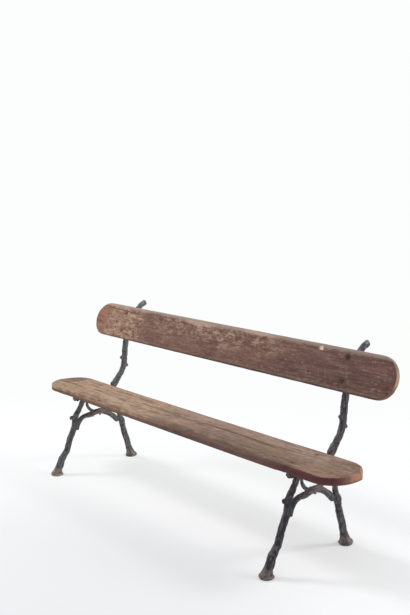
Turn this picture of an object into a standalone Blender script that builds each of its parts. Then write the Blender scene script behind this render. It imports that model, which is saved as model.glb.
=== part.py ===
"""Rustic garden bench: two cast-iron ends in the form of sawn branches carry a seat plank and a back plank.

Metres, +Z up, +X along the bench, +Y to the rear. A casting is drawn in its own plane, with y = 0 midway
between its feet, and every piece hangs on one empty, which centres the finished bench on the origin.
"""

import math

import bmesh
import bpy
from mathutils import Matrix, Vector

# Planks
PLANK_LENGTH = 2.000
SEAT_WIDTH = 0.232
SEAT_THICKNESS = 0.026
SEAT_TOP = 0.4225
SEAT_MIDDLE_Y = -0.031
SEAT_END_REACH = 0.107
BACK_WIDTH = 0.174
BACK_THICKNESS = 0.022
BACK_END_REACH = 0.087
BACK_LEAN = math.radians(22.0)
BACK_FACE_Y = 0.197
BACK_FACE_Z = 0.7425
EDGE_ROUND = 0.006
END_STEPS = 18

# Castings: stance, feet, and where the branches meet
CASTING_SPACING = 1.500
STANCE = 0.463
FOOT_RADIUS = 0.0305
FOOT_HEIGHT = 0.039
BEARER_FLAT = 0.0025
BEARER_FRONT_Y = -0.121
BEARER_DROOP = 0.007
FRONT_JOINT_Y = -0.0535
REAR_JOINT_Y = 0.1205
UPRIGHT_FLAT = 0.0022
TIP_RISE = 0.137
TIP_REACH = 0.0772

# Branch radii
LEG_RADIUS = 0.0152
UPRIGHT_RADIUS = 0.0144
BEARER_RADIUS = 0.0145
ARCH_RADIUS = 0.0124
TWIG_RADIUS = 0.0058
CROSSING_OFFSET = 0.0045

# Bark: sides of a branch's section, waves of ridges round it, and their depth as a share of its radius
BARK_SIDES = 12
BARK_WAVES = (5, 3)
BARK_RIDGE = 0.09
BRANCH_STEPS = 2
SHARP_ANGLE = math.radians(45.0)
FLAT_ANGLE = math.radians(2.5)

# The step that the bends and stubs below are counted in
BEND_STEP = 0.001

# A foot, from its stump up: share of its height, steps in towards the other foot, share of its radius
FOOT_BENDS = (
    (-0.22, 0, 0.86),
    (0.13, 0, 1.00),
    (0.45, 3.5, 0.69),
    (0.85, 8.5, 0.56),
)

# Bends of each branch: share of the way between its ends, steps of bow in Y and in Z, swell of the radius
FRONT_LEG_BENDS = (
    (0.12, -5.5, 0, 1.15),
    (0.205, -7.5, 0, 1.07),
    (0.29, 7, 0, 1.02),
    (0.36, 4, 0, 0.96),
    (0.44, -0.5, 0, 0.95),
    (0.61, 0, 0, 1.00),
    (0.72, -14, 0, 1.00),
    (0.78, -12, 0, 0.88),
    (0.86, -6, 0, 0.84),
    (1.00, 0, 0, 0.85),
)
REAR_LEG_BENDS = (
    (0.145, 1, 0, 1.03),
    (0.235, 2, 0, 1.04),
    (0.33, -1, 0, 1.00),
    (0.44, -1, 0, 0.94),
    (0.50, 0, 0, 1.00),
    (0.545, 2, 0, 1.04),
    (0.61, -3, 0, 0.74),
    (0.71, 1, 0, 0.68),
    (1.00, 0, 0, 0.85),
)
UPRIGHT_BENDS = (
    (0.11, 0, 0, 1.20),
    (0.22, 16.5, 0, 1.03),
    (0.37, 35, 0, 1.03),
    (0.47, 32, 0, 1.02),
    (0.57, 26.5, 0, 1.01),
    (0.66, 19.5, 0, 0.98),
    (0.77, 13, 0, 1.00),
    (0.88, 9, 0, 0.95),
    (1.00, 0, 0, 1.00),
)
TIP_BENDS = (
    (0.00, 0, 0, 1.00),
    (0.19, 0, 0, 0.97),
    (0.38, 5, -1, 0.88),
    (0.55, 2, 2, 0.86),
    (0.68, -1, 4.5, 0.90),
    (0.83, -1, 3, 0.94),
    (1.00, 0, 0, 0.92),
)
BEARER_BENDS = (
    (0.00, 0, 0, 0.80),
    (0.09, 0, 3, 0.92),
    (0.30, 0, 3, 1.02),
    (0.62, 0, 1, 0.96),
    (0.86, 0, 0, 1.00),
    (1.00, 0, 0, 0.95),
)
FRONT_ARCH_BENDS = (
    (-0.01, 0, -4, 0.90),
    (0.04, 0, 24, 0.98),
    (0.11, 0, 30, 0.94),
    (0.24, 0, 19, 0.92),
    (0.37, 0, -1, 1.04),
    (0.49, 0, -16, 0.98),
    (0.63, 0, -34, 0.98),
    (0.82, 0, -57, 0.85),
    (0.94, 0, -50, 0.78),
    (1.00, 0, 0, 0.75),
)
REAR_ARCH_BENDS = (
    (0.00, 0, 0, 1.00),
    (0.13, 0, 4, 1.04),
    (0.26, 0, 1, 1.00),
    (0.44, 0, -13, 0.98),
    (0.60, 0, -33, 0.96),
    (0.76, 0, -58, 0.80),
)
TWIG_BENDS = (
    (0.00, 0, 0, 1.50),
    (0.12, -12.5, 0, 1.30),
    (0.32, -21.5, 0, 1.05),
    (0.54, -20, 0, 1.00),
    (0.76, -11, 0, 1.00),
    (1.00, 0, 0, 1.10),
)

# Where the arch's branches start: share of the way along what carries them, and the step in from its middle
FRONT_ARCH_START = 0.57
FRONT_ARCH_STEP = 0.0235
REAR_ARCH_START = 0.56
REAR_ARCH_STEP = 0.0228
TWIG_START = 0.76
TWIG_FOOT_Y = -0.045
ARCH_TOP_STEP = 0.012

# Sawn twig ends: branch, share of the way along it, direction in Y and in Z, steps of length and of radius
STUBS = (
    ("front_leg", 0.728, -1.0, 0.02, 29, 10.5),
    ("front_leg", 0.32, 0.9, -0.5, 17.5, 7.5),
    ("front_arch", 0.43, 0.25, -1.0, 16.5, 7),
    ("rear_arch", 0.60, 0.30, -1.0, 19.5, 7),
    ("rear_leg", 0.545, 1.0, 0.35, 15, 9),
    ("upright", 0.53, -1.0, 0.35, 23, 10),
    ("upright", 0.40, 1.0, 0.10, 26, 10.5),
    ("upright", 0.11, -1.0, 0.20, 21, 8.5),
)
STUB_TAPER = 0.86

# Carriage bolts, washers and square nuts
BOLT_RADIUS = 0.004
HEAD_RADIUS = 0.0095
HEAD_HEIGHT = 0.0042
NECK_DEPTH = 0.0045
BOLT_SPARE = 0.003
BOLT_CHAMFER = 0.0008
WASHER_RADIUS = 0.0090
WASHER_THICKNESS = 0.0016
NUT_WIDTH = 0.013
NUT_HEIGHT = 0.0065
NUT_CHAMFER = 0.0008
ROUND_STEPS = 16
SEAT_BOLT_FRONT_Y = -0.0995
SEAT_BOLT_REAR_Y = 0.0425
BACK_BOLT_SPACING = 0.097
BACK_BOLT_RISE = 0.005
SPOT_FACE = 0.003
DOME_SHARES = (0.0, 0.4, 0.75, 1.0)

# Clearances
TOUCH_GAP = 0.0003
HOLE_CLEARANCE = 0.0006
SPOT_CLEARANCE = 0.0015
CUT_PAST = 0.05


def new_collection(name):
    collection = bpy.data.collections.new(name)
    bpy.context.scene.collection.children.link(collection)
    return collection


def new_material(name, colour, roughness, metallic):
    material = bpy.data.materials.new(name)
    material.use_nodes = True
    shader = material.node_tree.nodes["Principled BSDF"]
    shader.inputs["Base Color"].default_value = (*colour, 1.0)
    shader.inputs["Roughness"].default_value = roughness
    shader.inputs["Metallic"].default_value = metallic
    return material


def new_part(name, mesh, material, place):
    """A visible piece of the bench with its own mesh, standing at the matrix place."""
    part = bpy.data.objects.new(name, mesh)
    parts.objects.link(part)
    mesh.materials.clear()
    mesh.materials.append(material)
    part.parent = bench
    part.matrix_local = place
    return part


def new_helper(name, mesh, place=Matrix()):
    """A mesh that is only joined to a piece or cut out of it."""
    helper = bpy.data.objects.new(name, mesh)
    cutters.objects.link(helper)
    helper.hide_render = True
    helper.display_type = "WIRE"
    helper.parent = bench
    helper.matrix_local = place
    return helper


def combine(target, other, operation):
    modifier = target.modifiers.new(other.name, "BOOLEAN")
    modifier.operation = operation
    modifier.solver = "EXACT"
    modifier.object = other


def evaluated_mesh(source):
    """The mesh that an object's curve or modifiers give, with its caps welded to its sides."""
    bpy.context.view_layer.update()
    graph = bpy.context.evaluated_depsgraph_get()
    mesh = bpy.data.meshes.new_from_object(source.evaluated_get(graph))
    welded = bmesh.new()
    welded.from_mesh(mesh)
    bmesh.ops.remove_doubles(welded, verts=welded.verts, dist=1e-6)
    bmesh.ops.recalc_face_normals(welded, faces=welded.faces)
    welded.to_mesh(mesh)
    welded.free()
    return mesh


def settled(source):
    """Takes what an object's modifiers make as its mesh."""
    source.data = evaluated_mesh(source)
    source.modifiers.clear()
    return source


def box_mesh(name, size):
    mesh = bpy.data.meshes.new(name)
    shape = bmesh.new()
    bmesh.ops.create_cube(shape, size=1.0, matrix=Matrix.Diagonal((*size, 1.0)))
    shape.to_mesh(mesh)
    shape.free()
    return mesh


def rod_mesh(name, radius, bottom, top):
    """A round rod on the Z axis."""
    mesh = bpy.data.meshes.new(name)
    shape = bmesh.new()
    bmesh.ops.create_cone(
        shape,
        cap_ends=True,
        segments=ROUND_STEPS,
        radius1=radius,
        radius2=radius,
        depth=top - bottom,
        matrix=Matrix.Translation((0, 0, (bottom + top) / 2)),
    )
    shape.to_mesh(mesh)
    shape.free()
    return mesh


def turned_mesh(name, profile, closed=False):
    """Revolves a profile of (radius, height) points about Z."""
    mesh = bpy.data.meshes.new(name)
    line = bmesh.new()
    points = [line.verts.new((radius, 0, height)) for radius, height in profile]
    for start, end in zip(points, points[1:]):
        line.edges.new((start, end))
    if closed:
        line.edges.new((points[-1], points[0]))
    line.to_mesh(mesh)
    line.free()
    lathe = bpy.data.objects.new(name, mesh)
    cutters.objects.link(lathe)
    screw = lathe.modifiers.new("turn", "SCREW")
    screw.steps = ROUND_STEPS
    screw.render_steps = ROUND_STEPS
    screw.use_merge_vertices = True
    screw.merge_threshold = 1e-6
    turned = evaluated_mesh(lathe)
    bpy.data.objects.remove(lathe)
    return turned


def bark_section():
    """A branch's section: a circle of radius 1 with shallow ridges, which each curve sweeps along itself."""
    curve = bpy.data.curves.new("bark_section", "CURVE")
    spline = curve.splines.new("POLY")
    spline.points.add(BARK_SIDES - 1)
    for number, point in enumerate(spline.points):
        angle = 2 * math.pi * number / BARK_SIDES
        waves = [math.cos(count * angle + count) for count in BARK_WAVES]
        radius = 1 + BARK_RIDGE * sum(waves) / len(waves)
        point.co = (radius * math.cos(angle), radius * math.sin(angle), 0, 1)
    spline.use_cyclic_u = True
    section = bpy.data.objects.new("bark_section", curve)
    cutters.objects.link(section)
    section.hide_render = True
    return section


def branch(name, points):
    """A closed tube through (x, y, z, radius) points, with the bark section and flat sawn ends."""
    curve = bpy.data.curves.new(name, "CURVE")
    curve.dimensions = "3D"
    curve.resolution_u = BRANCH_STEPS
    curve.bevel_mode = "OBJECT"
    curve.bevel_object = section
    curve.use_fill_caps = True
    spline = curve.splines.new("BEZIER")
    spline.bezier_points.add(len(points) - 1)
    for knot, (x, y, z, radius) in zip(spline.bezier_points, points):
        knot.co = (x, y, z)
        knot.radius = radius
        knot.handle_left_type = "AUTO"
        knot.handle_right_type = "AUTO"
    swept = bpy.data.objects.new(name, curve)
    cutters.objects.link(swept)
    mesh = evaluated_mesh(swept)
    bpy.data.objects.remove(swept)
    return new_helper(name, mesh)


def run(start, end, bends, radius, aside=0.0):
    """Points of a branch between two (y, z) ends: each bend bows away from the straight line."""
    points = []
    for share, bow_y, bow_z, swell in bends:
        y, z = start.lerp(end, share) + BEND_STEP * Vector((bow_y, bow_z))
        points.append((aside * math.sin(math.pi * share), y, z, radius * swell))
    return points


def at_share(start, end, bends, share):
    """The middle of a branch at a share of its way, straight between its bends."""
    known = [(0.0, 0.0, 0.0)]
    known += [bend[:3] for bend in bends if bend[0] > 0]
    for (low, low_y, low_z), (high, high_y, high_z) in zip(known, known[1:]):
        if low <= share <= high:
            part = (share - low) / (high - low)
            bow = Vector((low_y, low_z)).lerp(Vector((high_y, high_z)), part)
            return start.lerp(end, share) + BEND_STEP * bow
    return end


def foot(sole):
    """The flared foot of a leg: its rim stands just above the sole, and its stump is cut off at the floor."""
    inwards = -math.copysign(1, sole.x)
    points = []
    for height, step, share in FOOT_BENDS:
        y, z = sole + Vector((inwards * step * BEND_STEP, FOOT_HEIGHT * height))
        points.append((0, y, z, FOOT_RADIUS * share))
    return points


def on_back(rise, reach):
    """A (y, z) point that lies rise above the back plank's middle and reach behind its rear face."""
    up = Vector((math.sin(BACK_LEAN), math.cos(BACK_LEAN)))
    rear = Vector((math.cos(BACK_LEAN), -math.sin(BACK_LEAN)))
    return Vector((BACK_FACE_Y, BACK_FACE_Z)) + rise * up + (BACK_THICKNESS + reach) * rear


def back_place(x, rise, reach):
    """A matrix on the back plank's rear face whose Z points forward, out of the plank's front face."""
    y, z = on_back(rise, reach)
    return Matrix.Translation((x, y, z)) @ Matrix.Rotation(math.pi / 2 - BACK_LEAN, 4, "X")


def end_casting():
    """Joins the branches of one end, then cuts its soles, its seats for the planks and its bolt holes."""
    lines = {
        "front_leg": (front_sole, front_joint, FRONT_LEG_BENDS),
        "rear_leg": (rear_sole, rear_joint, REAR_LEG_BENDS),
        "upright": (rear_joint, low_pad, UPRIGHT_BENDS),
    }
    arch_front = at_share(*lines["front_leg"], FRONT_ARCH_START) + Vector((FRONT_ARCH_STEP, 0))
    arch_rear = at_share(*lines["rear_leg"], REAR_ARCH_START) - Vector((REAR_ARCH_STEP, 0))
    arch_top = rear_joint - Vector((ARCH_TOP_STEP, 0))
    twig_top = Vector((TWIG_FOOT_Y, bearer_z))
    lines["front_arch"] = (arch_front, arch_top, FRONT_ARCH_BENDS)
    lines["rear_arch"] = (arch_rear, twig_top, REAR_ARCH_BENDS)
    twig_foot = at_share(*lines["rear_arch"], TWIG_START)

    rear_points = foot(rear_sole)
    rear_points += run(*lines["rear_leg"], LEG_RADIUS)
    rear_points += run(*lines["upright"], UPRIGHT_RADIUS)
    rear_points += run(high_pad, tip, TIP_BENDS, UPRIGHT_RADIUS)
    casting = branch("rear_branch", rear_points)

    front_points = foot(front_sole)
    front_points += run(*lines["front_leg"], LEG_RADIUS)
    bearer_points = run(bearer_front, rear_joint, BEARER_BENDS, BEARER_RADIUS)
    front_arch_points = run(*lines["front_arch"], ARCH_RADIUS, CROSSING_OFFSET)
    rear_arch_points = run(*lines["rear_arch"], ARCH_RADIUS, -CROSSING_OFFSET)
    twig_points = run(twig_foot, twig_top, TWIG_BENDS, TWIG_RADIUS)
    grown = [
        branch("front_branch", front_points),
        branch("bearer", bearer_points),
        branch("front_arch", front_arch_points),
        branch("rear_arch", rear_arch_points),
        branch("twig", twig_points),
    ]
    for number, (carrier, share, out_y, out_z, long, thick) in enumerate(STUBS):
        root = at_share(*lines[carrier], share)
        end = root + Vector((out_y, out_z)).normalized() * long * BEND_STEP
        radius = thick * BEND_STEP
        stub_points = [(0, *root, radius), (0, *end, radius * STUB_TAPER)]
        grown.append(branch(f"stub_{number}", stub_points))
    for piece in grown:
        combine(casting, piece, "UNION")

    floor_size = (2 * CUT_PAST, 2 * STANCE, CUT_PAST)
    floor_place = Matrix.Translation((0, 0, -CUT_PAST / 2))
    sawn = [new_helper("floor_cut", box_mesh("floor_cut", floor_size), floor_place)]
    seat_size = (2 * CUT_PAST, SEAT_WIDTH + 2 * TOUCH_GAP, SEAT_THICKNESS)
    seat_middle = seat_under - TOUCH_GAP + SEAT_THICKNESS / 2
    seat_place = Matrix.Translation((0, SEAT_MIDDLE_Y, seat_middle))
    sawn.append(new_helper("seat_cut", box_mesh("seat_cut", seat_size), seat_place))
    back_size = (2 * CUT_PAST, BACK_WIDTH + 2 * TOUCH_GAP, BACK_THICKNESS)
    back_cut_place = back_place(0, 0, TOUCH_GAP - BACK_THICKNESS / 2)
    sawn.append(new_helper("back_cut", box_mesh("back_cut", back_size), back_cut_place))
    spot_radius = WASHER_RADIUS + SPOT_CLEARANCE
    spot_reach = WASHER_THICKNESS + NUT_HEIGHT + BOLT_SPARE + SPOT_CLEARANCE
    for bolt_name, place, _, spot_depth in bolts_at(0):
        hole = rod_mesh("hole", BOLT_RADIUS + HOLE_CLEARANCE, -CUT_PAST, CUT_PAST)
        spot = rod_mesh("spot", spot_radius, -spot_depth - spot_reach, -spot_depth)
        sawn.append(new_helper(bolt_name + "_hole", hole, place))
        sawn.append(new_helper(bolt_name + "_spot", spot, place))
    for cutter in sawn:
        combine(casting, cutter, "DIFFERENCE")
    mesh = settled(casting).data
    for helper in [casting, *grown, *sawn]:
        bpy.data.objects.remove(helper)
    mesh.shade_smooth()
    mesh.set_sharp_from_angle(angle=SHARP_ANGLE)
    return mesh


def bolts_at(x):
    """The bolts at one end: name, matrix where the plank meets the casting, plank thickness, washer depth."""
    front = Matrix.Translation((x, SEAT_BOLT_FRONT_Y, seat_under))
    rear = Matrix.Translation((x, SEAT_BOLT_REAR_Y, seat_under))
    return [
        ("seat_front", front, SEAT_THICKNESS, seat_spot),
        ("seat_rear", rear, SEAT_THICKNESS, seat_spot),
        ("back_lower", back_place(x, low_bolt, 0), BACK_THICKNESS, back_spot),
        ("back_upper", back_place(x, high_bolt, 0), BACK_THICKNESS, back_spot),
    ]


def plank_mesh(name, width, thickness, reach):
    """A board with elliptical ends and rounded edges, lying flat with its middle at the origin."""
    curve = bpy.data.curves.new(name, "CURVE")
    curve.dimensions = "2D"
    curve.fill_mode = "BOTH"
    curve.extrude = thickness / 2 - EDGE_ROUND
    curve.bevel_depth = EDGE_ROUND
    curve.bevel_resolution = 2
    curve.offset = -EDGE_ROUND
    outline = []
    for number in range(END_STEPS + 1):
        angle = math.pi * (number / END_STEPS - 0.5)
        x = PLANK_LENGTH / 2 - reach + reach * math.cos(angle)
        outline.append((x, width / 2 * math.sin(angle)))
    outline += [(-x, -y) for x, y in outline]
    spline = curve.splines.new("POLY")
    spline.points.add(len(outline) - 1)
    for point, (x, y) in zip(spline.points, outline):
        point.co = (x, y, 0, 1)
    spline.use_cyclic_u = True
    board = bpy.data.objects.new(name, curve)
    cutters.objects.link(board)
    mesh = evaluated_mesh(board)
    bpy.data.objects.remove(board)
    for face in mesh.polygons:
        face.use_smooth = abs(face.normal.z) < math.cos(FLAT_ANGLE)
    return mesh


def bore_plank(plank, plank_bolts):
    """Cuts each bolt's round hole and the square seat of its neck out of a plank."""
    for bolt_name, place, thickness, _ in plank_bolts:
        hole = rod_mesh(bolt_name, BOLT_RADIUS + HOLE_CLEARANCE, -CUT_PAST, CUT_PAST)
        combine(plank, new_helper(bolt_name + "_bore", hole, place), "DIFFERENCE")
        neck_side = 2 * (BOLT_RADIUS + TOUCH_GAP)
        neck_height = NECK_DEPTH + TOUCH_GAP + CUT_PAST
        neck = box_mesh(bolt_name, (neck_side, neck_side, neck_height))
        neck_middle = thickness - NECK_DEPTH - TOUCH_GAP + neck_height / 2
        neck_place = place @ Matrix.Translation((0, 0, neck_middle))
        combine(plank, new_helper(bolt_name + "_neck", neck, neck_place), "DIFFERENCE")


def bolt_mesh(grip):
    """A carriage bolt with the underside of its domed head at z = 0 and its shank running down."""
    dome = (HEAD_RADIUS**2 + HEAD_HEIGHT**2) / (2 * HEAD_HEIGHT)
    opening = math.asin(HEAD_RADIUS / dome)
    profile = []
    for share in DOME_SHARES:
        height = dome * math.cos(opening * share) - dome + HEAD_HEIGHT
        profile.append((dome * math.sin(opening * share), height))
    length = grip + WASHER_THICKNESS + NUT_HEIGHT + 2 * TOUCH_GAP + BOLT_SPARE
    profile.append((BOLT_RADIUS, 0))
    profile.append((BOLT_RADIUS, BOLT_CHAMFER - length))
    profile.append((BOLT_RADIUS - BOLT_CHAMFER, -length))
    profile.append((0, -length))
    turned = new_helper("bolt", turned_mesh("bolt", profile))
    neck_top = HEAD_HEIGHT / 2
    neck = new_helper("neck", box_mesh("neck", (2 * BOLT_RADIUS, 2 * BOLT_RADIUS, NECK_DEPTH + neck_top)))
    neck.data.transform(Matrix.Translation((0, 0, (neck_top - NECK_DEPTH) / 2)))
    combine(turned, neck, "UNION")
    mesh = settled(turned).data
    for helper in (turned, neck):
        bpy.data.objects.remove(helper)
    mesh.shade_smooth()
    mesh.set_sharp_from_angle(angle=SHARP_ANGLE)
    return mesh


def washer_mesh():
    """A flat washer whose upper face is at z = 0."""
    inner = BOLT_RADIUS + HOLE_CLEARANCE
    profile = [
        (inner, 0),
        (WASHER_RADIUS, 0),
        (WASHER_RADIUS, -WASHER_THICKNESS),
        (inner, -WASHER_THICKNESS),
    ]
    return turned_mesh("washer", profile, closed=True)


def nut_mesh():
    """A square nut whose upper face is at z = 0."""
    nut = new_helper("nut", box_mesh("nut", (NUT_WIDTH, NUT_WIDTH, NUT_HEIGHT)))
    nut.data.transform(Matrix.Translation((0, 0, -NUT_HEIGHT / 2)))
    chamfer = nut.modifiers.new("chamfer", "BEVEL")
    chamfer.width = NUT_CHAMFER
    chamfer.segments = 1
    thread = new_helper("thread", rod_mesh("thread", BOLT_RADIUS + TOUCH_GAP, -CUT_PAST, CUT_PAST))
    combine(nut, thread, "DIFFERENCE")
    mesh = settled(nut).data
    for helper in (nut, thread):
        bpy.data.objects.remove(helper)
    return mesh


for startup_object in list(bpy.data.objects):
    bpy.data.objects.remove(startup_object)

parts = new_collection("rustic_bench")
cutters = new_collection("cutters")
bench = bpy.data.objects.new("bench", None)
parts.objects.link(bench)
section = bark_section()

# Places that the planks, castings and bolts share
seat_under = SEAT_TOP - SEAT_THICKNESS
bearer_z = seat_under - BEARER_RADIUS + BEARER_FLAT
seat_spot = 2 * BEARER_RADIUS - BEARER_FLAT - SPOT_FACE
front_sole = Vector((-STANCE / 2, 0))
rear_sole = Vector((STANCE / 2, 0))
front_joint = Vector((FRONT_JOINT_Y, bearer_z))
rear_joint = Vector((REAR_JOINT_Y, bearer_z))
bearer_front = Vector((BEARER_FRONT_Y, bearer_z - BEARER_DROOP))
low_bolt = BACK_BOLT_RISE - BACK_BOLT_SPACING / 2
high_bolt = BACK_BOLT_RISE + BACK_BOLT_SPACING / 2
upright_set = UPRIGHT_RADIUS - UPRIGHT_FLAT
back_spot = UPRIGHT_RADIUS + upright_set - SPOT_FACE
low_pad = on_back(low_bolt, upright_set)
high_pad = on_back(high_bolt, upright_set)
tip = on_back(TIP_RISE, TIP_REACH)

iron = new_material("cast_iron", (0.045, 0.046, 0.050), 0.55, 0.6)
seat_wood = new_material("seat_wood", (0.29, 0.21, 0.15), 0.75, 0.0)
back_wood = new_material("back_wood", (0.19, 0.11, 0.085), 0.65, 0.0)
steel = new_material("bolt_steel", (0.09, 0.075, 0.065), 0.6, 0.8)

casting_mesh = end_casting()
ends = {"left": -CASTING_SPACING / 2, "right": CASTING_SPACING / 2}
all_bolts = {}
for side, x in ends.items():
    new_part(f"{side}_end_casting", casting_mesh.copy(), iron, Matrix.Translation((x, 0, 0)))
    for bolt_name, place, thickness, spot_depth in bolts_at(x):
        all_bolts[f"{side}_{bolt_name}"] = (f"{side}_{bolt_name}", place, thickness, spot_depth)

seat_mesh = plank_mesh("seat_plank", SEAT_WIDTH, SEAT_THICKNESS, SEAT_END_REACH)
seat_at = Matrix.Translation((0, SEAT_MIDDLE_Y, SEAT_TOP - SEAT_THICKNESS / 2))
seat = new_part("seat_plank", seat_mesh, seat_wood, seat_at)
bore_plank(seat, [bolt for name, bolt in all_bolts.items() if "seat" in name])

back_mesh = plank_mesh("back_plank", BACK_WIDTH, BACK_THICKNESS, BACK_END_REACH)
back = new_part("back_plank", back_mesh, back_wood, back_place(0, 0, -BACK_THICKNESS / 2))
bore_plank(back, [bolt for name, bolt in all_bolts.items() if "back" in name])

for name, (_, place, thickness, spot_depth) in all_bolts.items():
    head_place = place @ Matrix.Translation((0, 0, thickness + TOUCH_GAP))
    bolt = bolt_mesh(thickness + TOUCH_GAP + spot_depth)
    new_part(f"{name}_bolt", bolt, steel, head_place)
    washer_top = -spot_depth - TOUCH_GAP
    new_part(f"{name}_washer", washer_mesh(), steel, place @ Matrix.Translation((0, 0, washer_top)))
    nut_top = washer_top - WASHER_THICKNESS - TOUCH_GAP
    new_part(f"{name}_nut", nut_mesh(), steel, place @ Matrix.Translation((0, 0, nut_top)))

# The bench stands centred on the origin
bpy.context.view_layer.update()
corners_y = []
for piece in parts.objects:
    if piece.type == "MESH":
        corners_y += [(piece.matrix_world @ vertex.co).y for vertex in piece.data.vertices]
bench.location.y = -(min(corners_y) + max(corners_y)) / 2
bpy.data.objects.remove(section)
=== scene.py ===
import math

import bpy
import numpy as np
from mathutils import Matrix, Vector, kdtree, noise


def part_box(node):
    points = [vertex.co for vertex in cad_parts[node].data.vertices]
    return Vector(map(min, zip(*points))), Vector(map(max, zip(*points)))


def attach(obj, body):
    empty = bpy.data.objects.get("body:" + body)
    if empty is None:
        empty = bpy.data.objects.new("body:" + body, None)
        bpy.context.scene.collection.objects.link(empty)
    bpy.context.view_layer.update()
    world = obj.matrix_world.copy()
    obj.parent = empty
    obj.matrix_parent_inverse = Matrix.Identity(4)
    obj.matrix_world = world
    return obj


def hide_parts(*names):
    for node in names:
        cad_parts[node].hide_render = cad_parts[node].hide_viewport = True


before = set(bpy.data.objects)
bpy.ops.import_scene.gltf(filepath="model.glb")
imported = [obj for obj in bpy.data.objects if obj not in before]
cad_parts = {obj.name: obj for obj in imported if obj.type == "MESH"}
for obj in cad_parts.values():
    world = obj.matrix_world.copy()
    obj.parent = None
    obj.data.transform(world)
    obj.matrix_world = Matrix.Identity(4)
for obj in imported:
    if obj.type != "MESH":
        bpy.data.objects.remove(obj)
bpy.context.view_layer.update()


# End castings: each end of the bench is one grey-iron casting in the form of sawn oak branches, poured in
# sand from one carved pattern. The bark stands up in long ridges, the black paint has worn to bare iron on
# them, and the rooted feet have rusted brown. Pads on the bearer and the upright carry the planks.
CASTINGS = ("left_end_casting", "right_end_casting")
CASTING_SPACING = 1.500
BACK_LEAN = math.radians(22.0)
BACK_UP = np.array((0, math.sin(BACK_LEAN), math.cos(BACK_LEAN)))
BACK_OUT = np.array((0, -math.cos(BACK_LEAN), math.sin(BACK_LEAN)))
BACK_WIDTH = 0.174
BACK_THICKNESS = 0.022
BOLT_SPOTS = ("seat_front", "seat_rear", "back_lower", "back_upper")
BARK_VOXEL = 0.00168
FURROW_SPACING = 0.0085
FURROW_DEPTH = 0.0019
FURROW_STRIDE = 0.003
FURROW_STRIDES = 6
FURROW_RING = 1.4
FURROW_WIDTH = 0.9
FURROW_SHAPE = 0.8
FURROW_LEVEL = 0.72
BRANCH_GROWTH = (0.05, 0.35, 0.9)
LUMP_SPACING = 0.030
LUMP_HEIGHT = 0.0021
SMALL_LUMPS = (0.4, 2.3)
SWELL_IN_PLANE = 0.0013
SHRINK_ACROSS = 0.0005
ROOT_HEIGHT = 0.055
ROOT_GAIN = 0.6
PAD_FADE = 0.005
PAD_TONE = 0.5
BEARER_REAR = 0.05
SPOT_RADIUS = 0.0105
SPOT_FADE = 0.004
IRON_BLACK = (0.0110, 0.0068, 0.0130)
IRON_WORN = (0.106, 0.087, 0.113)
# A dusty grey: real dust, and also painted light and painted highlight on the castings.
IRON_DUST_AND_LIGHT = (0.133, 0.127, 0.132)
IRON_BROWN = (0.178, 0.134, 0.124)
IRON_RUST = ((0.198, 0.150, 0.148), (0.330, 0.255, 0.213))
IRON_TIP_WEAR_AND_HIGHLIGHT = (0.255, 0.265, 0.280)
IRON_PIT = (0.0045, 0.0042, 0.0048)
# Where a look sets in on a casting, from none to all: along Y for REAR_LEGS and ARCH_REAR, else along Z.
REAR_LEGS = (-0.16, -0.06)
UPRIGHTS = (0.48, 0.58)
ARCH_REAR = (0.10, 0.05)
ARCH_FOOT = (0.24, 0.28)
UPRIGHT_TIPS = (0.806, 0.822)
RUSTED_FEET = (0.062, 0.036)


def smooth_step(low, high, value):
    share = np.clip((value - low) / (high - low), 0.0, 1.0)
    return share * share * (3 - 2 * share)


def vectors_of(items, name):
    """What each item of a mesh holds by a name, as rows of three numbers."""
    flat = np.empty(len(items) * 3, np.float32)
    items.foreach_get(name, flat)
    return flat.reshape(-1, 3).astype(float)


def points_of(mesh):
    return vectors_of(mesh.vertices, "co")


def set_points(mesh, points):
    mesh.vertices.foreach_set("co", points.astype(np.float32).ravel())
    mesh.update()


def set_marks(mesh, **marks):
    """Keeps a number for each point of a mesh under each name, for its material to read."""
    for name, values in marks.items():
        kept = mesh.attributes.new(name, "FLOAT", "POINT")
        kept.data.foreach_set("value", values.astype(np.float32))


def noise_at(points, scale, seed):
    """Smooth noise of -1 to 1 at points, where scale is three lengths in metres or one."""
    spots = points / np.asarray(scale) + np.array((seed * 7.1, seed * 3.7, seed * 5.3))
    return np.array([noise.noise(spot) for spot in spots])


def only(piece):
    """Makes one object the selected and active one."""
    bpy.ops.object.select_all(action="DESELECT")
    piece.select_set(True)
    bpy.context.view_layer.objects.active = piece


def applied(piece, kind, **settings):
    """Gives a piece one modifier and applies it."""
    only(piece)
    modifier = piece.modifiers.new(kind.lower(), kind)
    for name, value in settings.items():
        setattr(modifier, name, value)
    bpy.ops.object.modifier_apply(modifier=modifier.name)


def middle_of(node):
    """The middle of a CAD node's box."""
    low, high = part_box(node)
    return np.array((low + high) / 2)


def new_object(name, data):
    """A new object in the scene, with its mesh, lamp or lens."""
    piece = bpy.data.objects.new(name, data)
    bpy.context.scene.collection.objects.link(piece)
    return piece


def merged_copy(node, name):
    """A new piece with the shape of a CAD node, whose loose triangles are merged into one skin."""
    piece = new_object(name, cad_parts[node].data.copy())
    piece.data.materials.clear()
    only(piece)
    bpy.ops.object.mode_set(mode="EDIT")
    bpy.ops.mesh.select_all(action="SELECT")
    bpy.ops.mesh.remove_doubles(threshold=1e-5)
    bpy.ops.object.mode_set(mode="OBJECT")
    return piece


def branch_axes(normals, neighbours):
    """The way that each point's branch runs: across the normals round about it."""
    tensors = normals[:, :, None] * normals[:, None, :]
    near = tensors[neighbours].mean(axis=1)
    axes = np.linalg.eigh(near)[1][:, :, 0]
    forward = axes @ np.array(BRANCH_GROWTH)
    return axes * np.where(forward < 0, -1.0, 1.0)[:, None]


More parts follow.
